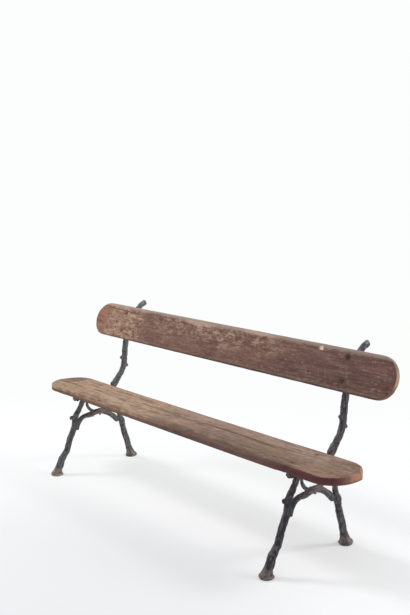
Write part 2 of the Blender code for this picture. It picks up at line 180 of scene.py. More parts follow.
def strokes(points, axes, tree):
    """For each point, the points met by walking along its branch both ways."""
    ahead = np.array([tree.find(spot)[1] for spot in points + FURROW_STRIDE * axes])
    behind = np.array([tree.find(spot)[1] for spot in points - FURROW_STRIDE * axes])
    paths = [np.arange(len(points))]
    for step in (ahead, behind):
        place = paths[0]
        for _ in range(FURROW_STRIDES):
            place = step[place]
            paths.append(place)
    return np.array(paths)


def bark(piece):
    """Raises bark on a casting: long furrows that follow each branch, and broad lumps, but flat pads."""
    mesh = piece.data
    points = points_of(mesh)
    normals = vectors_of(mesh.vertex_normals, "vector")
    tree = kdtree.KDTree(len(points))
    for number, point in enumerate(points):
        tree.insert(point, number)
    tree.balance()
    ring = FURROW_SPACING * FURROW_RING
    steps = [sign * ring * Vector(axis) for axis in ((1, 0, 0), (0, 1, 0), (0, 0, 1)) for sign in (1, -1)]
    steps += [ring * Vector((x, y, 0)).normalized() for x in (-1, 1) for y in (-1, 1)]
    neighbours = np.array([[tree.find(Vector(point) + step)[1] for step in steps] for point in points])
    paths = strokes(points, branch_axes(normals, neighbours), tree)
    raw = noise_at(points, FURROW_SPACING, 1)
    streak = raw[paths].mean(axis=0)
    streak = streak / streak.std()
    ridge = np.minimum(1.0, np.abs(streak) / FURROW_WIDTH) ** FURROW_SHAPE
    small, finer = SMALL_LUMPS
    lump = noise_at(points, LUMP_SPACING, 2) + small * noise_at(points, LUMP_SPACING / finer, 3)
    rooted = 1 - smooth_step(ROOT_HEIGHT * 0.5, ROOT_HEIGHT, points[:, 2])
    rise = FURROW_DEPTH * (1 + ROOT_GAIN * rooted) * (ridge - FURROW_LEVEL) + LUMP_HEIGHT * lump
    rise += SWELL_IN_PLANE - (SWELL_IN_PLANE + SHRINK_ACROSS) * normals[:, 0] ** 2

    below_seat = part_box("seat_plank")[0].z - points[:, 2]
    from_back = points - middle_of("back_plank")
    behind_back = -(from_back @ BACK_OUT) - BACK_THICKNESS / 2
    beside_back = np.abs(from_back @ BACK_UP) - BACK_WIDTH / 2
    fade = smooth_step(0, PAD_FADE, points[:, 2])
    fade *= np.where(points[:, 1] < BEARER_REAR, smooth_step(0, PAD_FADE, below_seat), 1)
    fade *= np.maximum(smooth_step(0, PAD_FADE, behind_back), smooth_step(0, PAD_FADE, beside_back))
    for spot_name in BOLT_SPOTS:
        along = np.array((0, 0, 1)) if "seat" in spot_name else BACK_OUT
        away = points - middle_of(f"right_{spot_name}_washer")
        off_axis = np.linalg.norm(away - np.outer(away @ along, along), axis=1)
        fade *= smooth_step(SPOT_RADIUS, SPOT_RADIUS + SPOT_FADE, off_axis)
    points += normals * (rise * fade)[:, None]
    points[:, 2] = np.maximum(points[:, 2], 0)
    set_points(mesh, points)
    set_marks(mesh, ridge=ridge * fade + PAD_TONE * (1 - fade), upward=np.maximum(0, normals[:, 2]))


class Shade:
    """A socket of a material. Operators on it add Math nodes, and add puts in any other node."""

    def __init__(self, tree, socket=None):
        self.tree = tree
        self.socket = socket

    def add(self, kind, settings, sockets, out=0):
        node = self.tree.nodes.new(kind)
        for name, value in settings.items():
            setattr(node, name, value)
        for name, value in sockets.items():
            if isinstance(value, Shade):
                self.tree.links.new(value.socket, node.inputs[name])
            else:
                node.inputs[name].default_value = value
        return Shade(self.tree, node.outputs[out])

    def maths(self, operation, first, second):
        return self.add("ShaderNodeMath", {"operation": operation}, {0: first, 1: second})

    def __add__(self, other):
        return self.maths("ADD", self, other)

    def __radd__(self, other):
        return self.maths("ADD", other, self)

    def __sub__(self, other):
        return self.maths("SUBTRACT", self, other)

    def __rsub__(self, other):
        return self.maths("SUBTRACT", other, self)

    def __mul__(self, other):
        return self.maths("MULTIPLY", self, other)

    def __rmul__(self, other):
        return self.maths("MULTIPLY", other, self)

    def __abs__(self):
        return self.maths("ABSOLUTE", self, 0)


def new_finish(name):
    """A new material, its shader tree as a Shade, and its Principled shader."""
    material = bpy.data.materials.new(name)
    material.use_nodes = True
    return material, Shade(material.node_tree), material.node_tree.nodes["Principled BSDF"]


def marks_of(shade, *names):
    """The numbers that set_marks keeps under these names."""
    return [shade.add("ShaderNodeAttribute", {"attribute_name": name}, {}, "Fac") for name in names]


def split(place):
    """The x, y and z of a place."""
    return (place.add("ShaderNodeSeparateXYZ", {}, {0: place}, axis) for axis in "XYZ")


def larger(first, second):
    return first.maths("MAXIMUM", first, second)


def between(value, low, high):
    """0 at low and 1 at high, whichever is greater, with a smooth step between them."""
    settings = {"interpolation_type": "SMOOTHSTEP"}
    return value.add("ShaderNodeMapRange", settings, {"Value": value, "From Min": low, "From Max": high})


def speckle(place, size, detail, roughness=0.55):
    """Noise of 0 to 1 at a place, where size is the length of its blobs in metres."""
    sockets = {"Vector": place, "Scale": 1 / size, "Detail": detail, "Roughness": roughness}
    return place.add("ShaderNodeTexNoise", {}, sockets, "Fac")


def blended(share, low, high):
    """Mixes two colours, each a Shade or three numbers."""
    low = low if isinstance(low, Shade) else (*low, 1)
    high = high if isinstance(high, Shade) else (*high, 1)
    settings = {"data_type": "RGBA", "clamp_factor": True}
    return share.add("ShaderNodeMix", settings, {0: share, 6: low, 7: high}, 2)


def joined(shader, name, value):
    value.tree.links.new(value.socket, shader.inputs[name])


def roughened(shader, strength, distance, height):
    """Gives a finish a fine relief."""
    bump = {"Strength": strength, "Distance": distance, "Height": height}
    joined(shader, "Normal", height.add("ShaderNodeBump", {}, bump))


def iron_finish():
    material, shade, shader = new_finish("worn_black_iron")
    place = shade.add("ShaderNodeTexCoord", {}, {}, "Object")
    x, y, height = split(place)
    ridge, upward = marks_of(shade, "ridge", "upward")
    patches = speckle(place, 0.045, 4)
    blobs = speckle(place, 0.013, 3, 0.6)
    fine = speckle(place, 0.004, 3)
    wear = between(ridge * 0.45 + patches * 0.5 + blobs * 0.55, 0.82, 1.10)
    colour = blended(wear, IRON_BLACK, IRON_WORN)
    left = between(x, 0.6, -0.6)
    thick = between(ridge + patches, 0.4, 1.2)
    # Lightened towards the dusty grey: real dust on the left casting; painted light on the rear legs and
    # uprights, which lie in the seat's shade; and, on upward faces, dust with a painted highlight.
    rear = between(y, *REAR_LEGS) * (1 - 0.35 * between(height, *UPRIGHTS))
    dust_and_light = thick * (0.46 * rear + (0.78 - 0.22 * rear) * left)
    dust_and_light = larger(dust_and_light, between(upward + 0.8 * (blobs - 0.5), 0.25, 0.85) * 0.65)
    colour = blended(dust_and_light, colour, IRON_DUST_AND_LIGHT)
    # The arch between the legs is lightened to brown: partly brown dust, partly painted light on an arch that
    # the seat shades.
    arch = rear * between(y, *ARCH_REAR) * between(height, *ARCH_FOOT)
    colour = blended(arch * thick * (0.55 + 0.20 * left), colour, IRON_BROWN)
    # The sawn tips of the uprights are lightened in patches: partly worn paint, partly a painted highlight.
    tip_wear_and_highlight = between(height, *UPRIGHT_TIPS) * between(blobs + 0.3 * patches, 0.60, 0.74)
    colour = blended(tip_wear_and_highlight, colour, IRON_TIP_WEAR_AND_HIGHLIGHT)
    low = between(height + 0.03 * patches, *RUSTED_FEET)
    spots = between(speckle(place, 0.022, 5, 0.7), 0.63, 0.74) * 0.35
    rust = larger(low * between(fine + patches, 0.62, 1.02), spots)
    pale_rust = 0.55 * left + 0.45 * between(x * y, -0.15, 0.15)
    colour = blended(rust * (0.5 + 0.5 * ridge), colour, blended(pale_rust, *IRON_RUST))
    furrow = between(ridge, 0.08, 0.50)
    colour = blended(furrow, IRON_PIT, colour)
    joined(shader, "Base Color", colour)
    joined(shader, "Roughness", 0.44 + 0.20 * patches + 0.25 * rust)
    shader.inputs["Specular IOR Level"].default_value = 0.40
    roughened(shader, 0.35, 0.0006, fine)
    return material


casting = merged_copy("right_end_casting", "casting_pattern")
applied(casting, "REMESH", mode="VOXEL", voxel_size=BARK_VOXEL)
applied(casting, "SMOOTH", factor=0.5, iterations=2)
bark(casting)
casting.data.shade_smooth()
casting.data.materials.append(iron_finish())
for node in CASTINGS:
    mesh = casting.data.copy()
    if node.startswith("left"):
        mesh.transform(Matrix.Translation((-CASTING_SPACING, 0, 0)))
    branch_end = new_object("branch_" + node, mesh)
    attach(branch_end, "root")
    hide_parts(node)
bpy.data.objects.remove(casting)


# Seat plank: one wide softwood board with half-round ends, sawn, planed and long since weathered. Its grain
# stands up in ridges, a drying crack runs along it, its arrises are worn round and its edge keeps some red.
PLANK_LENGTH = 2.000
SEAT_WIDTH = 0.232
SEAT_THICKNESS = 0.026
SEAT_REACH = 0.107
SEAT_CUTS = ((13, 15), (10, 15), (7,))
SEAT_SAG = (0.0008, 0.0020)
SEAT_FULLER = (0.0012, 0.0030)
BEARER_CLEAR = (0.026, 0.050)
# The crack runs through (along, across) points, and opens by a share of its depth at (along, share).
CRACK_PATH = (
    (-1.0, 0.002), (-0.70, -0.003), (-0.50, 0.004), (-0.30, 0.0133), (-0.20, 0.0198), (0.04, 0.0143),
    (0.25, 0.0263), (0.38, 0.0303), (0.55, 0.0253), (0.66, 0.034), (0.76, 0.041), (1.0, 0.038),
)
CRACK_OPENING = (
    (-0.74, 0), (-0.64, 1), (-0.36, 0.9), (-0.29, 0.6), (-0.24, 0.7), (-0.16, 1.2),
    (0.2, 1.4), (0.5, 1), (0.6, 0.6), (0.7, 0.6), (0.77, 0),
)
CRACK_DEPTH = 0.0042
CRACK_HALF = 0.0015
CRACK_DRAG = 0.030
CRACK_WANDER = (0.0016, 0.0008)
CRACK_SHADE = 0.0046
SEAT_PITH = (0.03, 0.075)
RING_SPACING = 0.0062
RING_DEPTH = 0.00055
# An arris is its radius, and how far that swells and ripples along the plank.
SEAT_ARRIS = (0.0062, 0.0016, 0.0008)
SEAT_FRONT_ROUNDING = 0.0075
SEAT_UNDER_ARRIS = (0.0035, 0.001)
SEAT_NIBBLE = 0.0007
SEAT_DIP = 0.0003
SEAT_RING_LEVEL = 0.6
SEAT_EDGE_FROM = 0.06
SEAT_ENDS = (0.45, 0.95)
SEAT_STAIN = (0.008, 0.026)
FRONT_WORN = ((-0.98, -0.6), (0.86, 0.55))
EDGE_FADE = 0.012
FACE_FADE = 0.008
BOLT_FLAT = (0.013, 0.024)
BITE_LENGTH = 0.02
BITE_SHARE = 0.55
# Places where the arris is worn are (along, front or rear edge, length, depth).
ARRIS_WORN = (
    (0.765, -1, 0.010, 0.0065),
    (0.875, -1, 0.060, 0.0045),
    (0.40, -1, 0.09, 0.0018),
    (-0.2, -1, 0.12, 0.002),
    (0.10, 1, 0.15, 0.002),
    (-0.62, -1, 0.07, 0.0025),
)
SEAT_TAN = ((0.250, 0.150, 0.094), (0.510, 0.358, 0.256))
SEAT_BROWN = ((0.150, 0.092, 0.067), (0.350, 0.232, 0.176))
SEAT_ORANGE = (0.405, 0.222, 0.120)
SEAT_PINK = (0.360, 0.238, 0.195)
SEAT_MOSS = (0.240, 0.182, 0.108)
SEAT_LILAC = (0.300, 0.226, 0.208)
SEAT_DARK = (0.100, 0.060, 0.048)
SEAT_EDGES = ((0.195, 0.107, 0.074), (0.143, 0.077, 0.064), (0.098, 0.031, 0.032), (0.470, 0.252, 0.164))
SEAT_PALE = (0.430, 0.305, 0.225)
SEAT_PIT = (0.016, 0.010, 0.009)
# Spots are (along, across) from a plank's middle, and a zone is a spot and the half sizes of its ellipse.
KNOT_SPOT = (-0.4965, -0.1030)
KNOT_SIZES = ((0.045, 0.016), (0.022, 0.008))
MOSS_SPOTS = ((0.637, -0.042), (0.583, -0.040), (0.40, -0.052))
MOSS_SIZE = (0.07, 0.024)
LILAC_ZONE = ((0.385, -0.015), (0.15, 0.030))
SLIVER_ZONE = ((0.231, 0.010), (0.036, 0.0075))
CLEAN_FRONT_ZONE = ((0.63, -0.070), (0.14, 0.045))
DIM_FRONT_ZONE = ((0.40, -0.050), (0.30, 0.055))
DIM_RIGHT_ZONE = ((0.91, -0.030), (0.10, 0.040))
DIM_LEFT_ZONE = ((-0.96, 0.055), (0.11, 0.090))
SEAT_GLEAMS = (
    ((-0.33, -0.037), (0.46, 0.075), 0.19, (0.800, 0.580, 0.430)),
    ((0.36, 0.085), (0.60, 0.055), 0.19, (0.600, 0.455, 0.375)),
    ((0.78, 0.030), (0.14, 0.045), 0.20, (0.600, 0.455, 0.375)),
    ((0.05, 0.030), (0.13, 0.035), 0.16, (0.640, 0.470, 0.370)),
)


def cut_across(piece, axis, number):
    """Cuts every edge that runs along an axis into equal parts, and joins the cuts."""
    mesh = piece.data
    points = points_of(mesh)
    ends = np.empty(len(mesh.edges) * 2, np.int32)
    mesh.edges.foreach_get("vertices", ends)
    along = np.abs(points[ends[0::2]] - points[ends[1::2]])[:, axis] > 1e-6
    only(piece)
    bpy.ops.object.mode_set(mode="EDIT")
    bpy.ops.mesh.select_mode(type="EDGE")
    bpy.ops.mesh.select_all(action="DESELECT")
    bpy.ops.object.mode_set(mode="OBJECT")
    mesh.edges.foreach_set("select", along)
    bpy.ops.object.mode_set(mode="EDIT")
    bpy.ops.mesh.subdivide(number_cuts=number)
    bpy.ops.object.mode_set(mode="OBJECT")


def plank_net(name, cuts):
    """A cube cut into a fine net, for a plank, and its points from -1 to 1."""
    bpy.ops.object.select_all(action="DESELECT")
    bpy.ops.mesh.primitive_cube_add(size=2)
    piece = bpy.context.object
    piece.name = name
    for axis, numbers in enumerate(cuts):
        for number in numbers:
            cut_across(piece, axis, number)
    return piece, points_of(piece.data)


def plan_of(net, width, reach):
    """Where the net's points lie in the plan of a plank with elliptical ends, closest at its edges."""
    half = width / 2
    across = half * (0.4 * net[:, 1] + 0.6 * np.sin(math.pi / 2 * net[:, 1]))
    ends = PLANK_LENGTH / 2 - reach + reach * np.sqrt(np.maximum(0, 1 - (across / half) ** 2))
    along = np.sign(net[:, 0]) * ends * (1 - (1 - np.abs(net[:, 0])) ** 1.6)
    return along, across


def inside(along, across, width, reach):
    """How far points lie inside the outline of a plank."""
    half = width / 2
    past = np.maximum(0, np.abs(along) - PLANK_LENGTH / 2 + reach)
    level = np.sqrt((past / reach) ** 2 + (across / half) ** 2) + 1e-9
    slope = np.sqrt((past / reach**2) ** 2 + (across / half**2) ** 2) / level + 1e-9
    return np.maximum(0, (1 - level) / slope)


def rounded(depth, radius):
    """How far a rounded arris drops at a depth inside the outline."""
    short = np.maximum(0, radius - depth)
    return radius - np.sqrt(np.maximum(0, radius**2 - short**2))


def bell(offset, width):
    """1 at no offset, and next to nothing at twice the width."""
    return np.exp(-((offset / width) ** 2))


def line_noise(along, length, seed):
    """Smooth noise of -1 to 1 along a plank."""
    steps = np.linspace(-1.1, 1.1, 2201)
    known = np.array([noise.noise((step / length, seed * 3.1, seed * 7.7)) for step in steps])
    return np.interp(along, steps, known)


def hardware_spots(words, middle, upward):
    """Where the bolts named by words come through a plank."""
    spots = []
    for side in ("left", "right"):
        for word in words:
            centre = middle_of(f"{side}_{word}_washer") - middle
            spots.append((centre[0], centre @ upward))
    return spots


def nearest_spot(along, across, spots):
    return np.min([np.hypot(along - x, across - y) for x, y in spots], axis=0)


def row_of(net, across, target):
    """How many rows each point lies from the row nearest to a target across, and where that row lies."""
    rows = np.unique(np.round(net[:, 1], 5))
    number = np.searchsorted(rows, np.round(net[:, 1], 5))
    heights = np.interp(rows, np.round(net[:, 1], 5)[np.argsort(net[:, 1])], np.sort(across))
    centre = int(np.argmin(np.abs(heights - target)))
    return number - centre, heights[centre]


def ring_lines(along, across, pith, spacing, seed):
    """A sawn board's grain as 0 to 1: the year rings round a pith that lies below its face and wanders."""
    side, deep = pith
    wander = 0.012 * line_noise(along, 0.55, seed) + 0.003 * line_noise(along, 0.13, seed + 1)
    spots = np.stack([along / 0.35, across / 0.028, np.full_like(along, seed)], axis=1)
    swirl = 0.0035 * noise_at(spots, 1.0, seed)
    radius = np.hypot(across - side + wander, deep + 0.02 * line_noise(along, 0.8, seed + 2)) + swirl
    phase = radius / spacing
    return 0.5 + 0.5 * np.cos(2 * math.pi * (phase - np.floor(phase)) ** 1.5)


def set_places(mesh, places):
    """Keeps each point's place along, across and through a plank, for its material to read."""
    kept = mesh.attributes.new("place", "FLOAT_VECTOR", "POINT")
    kept.data.foreach_set("vector", places.astype(np.float32).ravel())


seat_middle = middle_of("seat_plank")
seat_spots = hardware_spots(("seat_front", "seat_rear"), seat_middle, np.array((0, 1, 0)))
seat, net = plank_net("weathered_seat_plank", SEAT_CUTS)
along, across = plan_of(net, SEAT_WIDTH, SEAT_REACH)
crack_x, crack_y = np.array(CRACK_PATH).T
path = np.interp(along, crack_x, crack_y)
path += CRACK_WANDER[0] * line_noise(along, 0.05, 4)
path += CRACK_WANDER[1] * line_noise(along, 0.02, 5)
rows, row_height = row_of(net, across, float(np.mean(crack_y)))
grain = ring_lines(along, across, SEAT_PITH, RING_SPACING, 11)
dragged = across + (path - row_height) * bell(across - row_height, CRACK_DRAG)
dragged = np.where(np.abs(rows) == 1, path + rows * CRACK_HALF, dragged)
opening = np.interp(along, *np.array(CRACK_OPENING).T)
crack_share = opening * (0.8 + 0.5 * line_noise(along, 0.06, 6))
crack_share = np.where(rows == 0, np.maximum(0, crack_share), 0)
worn = np.zeros_like(along)
bite = np.zeros_like(along)
for place, edge, length, depth in ARRIS_WORN:
    bump = bell(along - place, length) * (np.sign(across) == edge)
    worn += depth * bump
    if length < BITE_LENGTH:
        bite += BITE_SHARE * depth * bump
depth = inside(along, across, SEAT_WIDTH, SEAT_REACH)
radius, swell, ripple = SEAT_ARRIS
arris = radius + swell * line_noise(along, 0.16, 7) + ripple * line_noise(along + 0.3, 0.05, 8) + 1.1 * worn
front_worn = smooth_step(*FRONT_WORN[0], along) * smooth_step(*FRONT_WORN[1], along)
arris += SEAT_FRONT_ROUNDING * smooth_step(0.0, -0.08, across) * front_worn
under_arris = SEAT_UNDER_ARRIS[0] + SEAT_UNDER_ARRIS[1] * line_noise(along, 0.2, 9)
nibble = SEAT_NIBBLE * line_noise(along, 0.04, 10) - SEAT_FULLER[0] + bite
calm = smooth_step(*BOLT_FLAT, nearest_spot(along, across, seat_spots))
rise = RING_DEPTH * (grain - SEAT_RING_LEVEL) * calm - SEAT_DIP * (1 + line_noise(along, 0.3, 12))
rise -= CRACK_DEPTH * crack_share
top = SEAT_THICKNESS / 2 - rounded(depth, arris) + rise * smooth_step(0.0, FACE_FADE, depth)
bottom = -SEAT_THICKNESS / 2 + rounded(depth, under_arris)
share = (net[:, 2] + 1) / 2
points = np.stack([along, dragged, bottom + (top - bottom) * share], axis=1)
points[:, 1] -= np.sign(across) * nibble * np.exp(-depth / EDGE_FADE) * (np.abs(across) > SEAT_EDGE_FROM)
points[:, 2] = np.clip(points[:, 2], -SEAT_THICKNESS / 2, SEAT_THICKNESS / 2)
towards_end = smooth_step(*SEAT_ENDS, np.abs(along))
lift = SEAT_SAG[0] + SEAT_SAG[1] * towards_end
off_bearer = np.abs(np.abs(along) - CASTING_SPACING / 2)
drop = SEAT_FULLER[1] * (1 - 0.6 * towards_end) * smooth_step(*BEARER_CLEAR, off_bearer)
# The dark line along the crack on the top face is painted shade in the crack.
crack_line = opening * bell(dragged - path, CRACK_SHADE) * (share > 0.9)
set_points(seat.data, seat_middle + points + np.outer(lift * share - drop * (1 - share), (0, 0, 1)))
set_places(seat.data, points)
set_marks(
    seat.data,
    grain=grain,
    crack=np.minimum(1, np.maximum(1.6 * crack_share, 0.42 * crack_line)),
    under=1 - smooth_step(0.0, 0.5, share),
    stain=1 - smooth_step(*SEAT_STAIN, nearest_spot(along, across, seat_spots[1:])),
    inset=depth,
)
seat.data.shade_smooth()


def plank_place(shade):
    """The place on a plank that set_places keeps."""
    return shade.add("ShaderNodeAttribute", {"attribute_name": "place"}, {}, "Vector")


def streaks(place, lengths, detail=3, roughness=0.6):
    """Noise of 0 to 1 at a place, where lengths are those of its blobs along, across and through a plank."""
    scale = tuple(1 / length for length in lengths)
    drawn = place.add("ShaderNodeVectorMath", {"operation": "MULTIPLY"}, {0: place, 1: scale})
    return speckle(drawn, 1.0, detail, roughness)


def near(x, y, spot, size):
    """1 at a spot, falling to 0 on an ellipse round it."""
    off_x = (x - spot[0]) * (1 / size[0])
    off_y = (y - spot[1]) * (1 / size[1])
    return between(off_x * off_x + off_y * off_y, 1.0, 0.15)


def seat_finish():
    material, shade, shader = new_finish("weathered_seat_wood")
    place = plank_place(shade)
    x, y, z = split(place)
    grain, crack, under, stain, inset = marks_of(shade, "grain", "crack", "under", "stain", "inset")
    fibre = streaks(place, (0.12, 0.0026, 0.010))
    streak = streaks(place, (0.34, 0.015, 0.05), 3, 0.55)
    mottle = streaks(place, (0.055, 0.024, 0.05))
    patch = streaks(place, (0.20, 0.07, 0.1), 3, 0.55)
    flake = streaks(place, (0.026, 0.010, 0.02))
    grit = speckle(place, 0.006, 3)
    left = between(x + 0.30 * (patch - 0.5), 0.02, -0.30)
    right = between(x, 0.74, 0.88)
    tone = streak * 0.30 + mottle * 0.20 + patch * 0.20 + flake * 0.30 + 0.12 * (fibre - 0.5)
    tone = between(tone, 0.37, 0.63)
    colour = blended(left, blended(tone, *SEAT_BROWN), blended(tone, *SEAT_TAN))
    tawny = between(streak + 0.4 * (mottle - 0.5), 0.52, 0.70) * (0.20 + 0.30 * left + 0.2 * right)
    colour = blended(tawny, colour, SEAT_ORANGE)
    rosy = between(mottle + 0.6 * patch, 0.84, 1.02) * (0.25 + 0.3 * left)
    colour = blended(rosy, colour, SEAT_PINK)
    for spot, size, share, gleam in SEAT_GLEAMS:
        lit = near(x, y, spot, size) * (0.55 + 0.9 * tone)
        colour = blended(lit * share, colour, gleam)
    lilac = near(x, y, *LILAC_ZONE) * between(mottle + flake, 0.75, 1.10)
    colour = blended(lilac * 0.6, colour, SEAT_LILAC)
    for spot in MOSS_SPOTS:
        moss = near(x, y, spot, MOSS_SIZE) * between(grit + mottle, 0.75, 1.10)
        colour = blended(moss * 0.7, colour, SEAT_MOSS)
    line = between(grain * 0.5 + fibre * 0.75, 0.62, 0.36)
    colour = blended(line * 0.30, colour, SEAT_DARK)
    front = between(y + 0.080 * (mottle - 0.5) + 0.050 * (flake - 0.5), -0.066, -0.100)
    front = front * between(x, -0.15, 0.25) * between(x, 0.86, 0.74)
    front = front * (1 - 0.6 * near(x, y, *CLEAN_FRONT_ZONE))
    dim = near(x + 0.2 * (patch - 0.5), y, *DIM_FRONT_ZONE) * 0.20
    dim = larger(dim, near(x, y, *DIM_RIGHT_ZONE) * 0.20)
    colour = blended(larger(front * 0.75, dim), colour, SEAT_DARK)
    dirt = between(streak * 0.6 + mottle * 0.5 - 0.1 * left, 0.43, 0.33)
    colour = blended(dirt * 0.35, colour, SEAT_DARK)
    # A pale strip on the rounded front arris at the right end: partly worn wood, partly a painted highlight
    # where the arris catches light.
    pale = between(inset, 0.0110, 0.0070) * between(z, 0.0098, 0.0112) * between(y, -0.055, -0.075)
    colour = blended(pale * right * 0.8, colour, SEAT_PALE)
    rear = between(y + 0.008 * (mottle - 0.5), 0.102, 0.113)
    colour = blended(rear * 0.45, colour, SEAT_DARK)
    rim = between(inset + 0.012 * (mottle - 0.5), 0.050, 0.004) * between(y, -0.085, -0.020)
    rim = larger(rim * 0.60, near(x, y, *DIM_LEFT_ZONE) * 0.62)
    colour = blended(rim * between(x, -0.84, -0.92), colour, SEAT_DARK)
    scribed = between(abs(inset - 0.017), 0.008, 0.003) * between(x, 0.86, 0.92)
    colour = blended(scribed * between(flake, 0.35, 0.55) * 0.40, colour, SEAT_DARK)
    colour = blended(stain * 0.40, colour, SEAT_DARK)
    halo, heart = (near(x, y, KNOT_SPOT, size) for size in KNOT_SIZES)
    colour = blended(halo * 0.5, colour, SEAT_ORANGE)
    colour = blended(heart * 0.8, colour, SEAT_DARK)
    worn_side, plain_side, red_side, raw_end = SEAT_EDGES
    side = blended(between(x, -0.20, 0.15), worn_side, plain_side)
    side = blended(between(x, 0.60, 0.80), side, red_side)
    side = blended(between(y + 0.02 * (mottle - 0.5), -0.090, 0.042) * right, side, raw_end)
    side = blended(between(x, -0.90, -0.985) * 0.8, side, SEAT_PALE)
    side = blended(between(mottle * 0.7 + fibre * 0.4, 0.62, 0.42) * (0.35 - 0.2 * right), side, SEAT_PIT)
    high = between(x, 0.52, 0.66)
    start = 0.0005 + 0.0035 * between(x, -0.3, 0.2) + 0.0085 * high + 0.006 * (mottle - 0.5)
    edge = between((z - start) * (1 + 1.3 * high), 0.0030, -0.0030) * between(inset, 0.011, 0.006)
    colour = blended(larger(edge, under), colour, side)
    colour = blended(under * 0.6, colour, SEAT_DARK)
    colour = blended(near(x, y, *SLIVER_ZONE) * 0.8, colour, SEAT_PALE)
    # Darkens the crack mark: painted shade in and beside the crack.
    colour = blended(crack, colour, SEAT_PIT)
    joined(shader, "Base Color", colour)
    joined(shader, "Roughness", 0.72 + 0.15 * grit)
    shader.inputs["Specular IOR Level"].default_value = 0.2
    roughened(shader, 0.45, 0.0008, fibre * 0.7 + grit * 0.3)
    return material


seat.data.materials.append(seat_finish())
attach(seat, "root")
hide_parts("seat_plank")


# Back plank: a second board with half-round ends, leaning back on the uprights. It keeps a thin coat of
# red-brown paint that has flaked to bare wood in flecks, most at its left end and along its upper half.
BACK_REACH = 0.087
BACK_CUTS = ((19, 13), (8, 13), (6,))
BACK_PITH = (-0.06, 0.09)
BACK_FULLER = (0.0019, 0.0010)
BACK_TUCK = 0.0022
BACK_CORNER = 0.0042
BACK_ARRIS = (0.0040, 0.0012, 0.0006)
BACK_TOP_ROUNDING = 0.0050
BACK_REAR_ARRIS = (0.0032, 0.0008)
BACK_NIBBLE = 0.0006
BACK_DIP = 0.0002
BACK_RING_SPACING = RING_SPACING * 0.9
BACK_RING_DEPTH = 0.6 * RING_DEPTH
BACK_RING_LEVEL = 0.7
BACK_EDGE_FROM = 0.04
BACK_ENDS = (0.90, 0.97)
BACK_LEFT_END = (-0.885, -0.94)
BACK_STAIN = (0.008, 0.022)
BACK_PAINT = ((0.105, 0.049, 0.037), (0.240, 0.128, 0.097))
BACK_SHADED = ((0.082, 0.038, 0.032), (0.182, 0.097, 0.079))
BACK_WORN = ((0.178, 0.086, 0.056), (0.345, 0.184, 0.128))
BACK_FLECK = ((0.275, 0.180, 0.135), (0.430, 0.315, 0.250))
BACK_CURL = (0.480, 0.335, 0.240)
BACK_BARE = (0.560, 0.400, 0.305)
BACK_YELLOW = (0.420, 0.262, 0.168)
BACK_LIGHT = (0.470, 0.265, 0.195)
BACK_LIGHTER = (
    ((-0.28, -0.045), (0.27, 0.065), 0.12),
    ((0.47, 0.042), (0.28, 0.060), 0.10),
    ((0.86, 0.040), (0.19, 0.055), 0.07),
)
BACK_BARED = (
    ((-0.17, 0.069), (0.16, 0.014)),
    ((0.24, 0.076), (0.13, 0.010)),
    ((-0.685, 0.042), (0.045, 0.008)),
    ((-0.615, 0.032), (0.038, 0.007)),
)
BACK_DARK = (0.062, 0.030, 0.026)
BACK_BLACK = (0.030, 0.018, 0.017)
BACK_GREY = (0.325, 0.245, 0.195)
BACK_TOPS = ((0.350, 0.266, 0.222), (0.325, 0.245, 0.200))
BACK_TOP_WORN = (0.470, 0.352, 0.290)
BACK_ORANGE = (0.345, 0.160, 0.090)
BACK_RED = (0.200, 0.075, 0.050)
YELLOW_ZONE = ((-0.816, 0.012), (0.11, 0.075))
ORANGE_ZONE = ((-0.937, 0.023), (0.040, 0.026))
RED_ZONE = ((0.965, -0.045), (0.05, 0.035))
SEAM_SLOPE = 0.0283
SEAM_HEIGHT = 0.0373
BEAD_INSET = 0.0090
GLINT_HEIGHT = -0.0775
BACK_RIMS = ((0.200, 0.092, 0.068), (0.475, 0.285, 0.200), (0.265, 0.190, 0.150))
CHIP_SPOT = (0.606, 0.068)
CHIP_SIZE = (0.015, 0.011)
CHIP_DEPTH = 0.0032
CHIP_PULL = (0.6, 0.045)
CHIP_PALE = (0.90, 0.63, 0.50)

back_middle = middle_of("back_plank")
back_spots = hardware_spots(("back_lower", "back_upper"), back_middle, BACK_UP)
back, net = plank_net("painted_back_plank", BACK_CUTS)
along, across = plan_of(net, BACK_WIDTH, BACK_REACH)
off_chip = along - CHIP_SPOT[0]
along = along - CHIP_PULL[0] * off_chip * bell(off_chip, CHIP_PULL[1])
grain = ring_lines(along, across, BACK_PITH, BACK_RING_SPACING, 23)
depth = inside(along, across, BACK_WIDTH, BACK_REACH)
radius, swell, ripple = BACK_ARRIS
arris = radius + swell * line_noise(along, 0.14, 24) + ripple * line_noise(along, 0.04, 25)
arris += BACK_TOP_ROUNDING * smooth_step(0.02, 0.07, across)
rear_arris = BACK_REAR_ARRIS[0] + BACK_REAR_ARRIS[1] * line_noise(along, 0.2, 26)
chip_x = (along - CHIP_SPOT[0]) / CHIP_SIZE[0]
chip_y = (across - CHIP_SPOT[1]) / CHIP_SIZE[1]
chip_edge = np.hypot(chip_x, chip_y) + 0.35 * np.maximum(0, chip_x) * np.maximum(0, 1 + chip_y)
ragged = 0.25 * noise_at(np.stack([along, across, 0 * along], axis=1), 0.008, 27)
chip = 1 - smooth_step(0.70, 1.05, chip_edge + ragged)
calm = smooth_step(*BOLT_FLAT, nearest_spot(along, across, back_spots))
rise = BACK_RING_DEPTH * (grain - BACK_RING_LEVEL) * calm - BACK_DIP * (1 + line_noise(along, 0.3, 28))
rise -= CHIP_DEPTH * chip
top = BACK_THICKNESS / 2 - rounded(depth, arris) + rise * smooth_step(0.0, FACE_FADE, depth)
bottom = -BACK_THICKNESS / 2 + rounded(depth, rear_arris)
share = (net[:, 2] + 1) / 2
points = np.stack([along, across, bottom + (top - bottom) * share], axis=1)
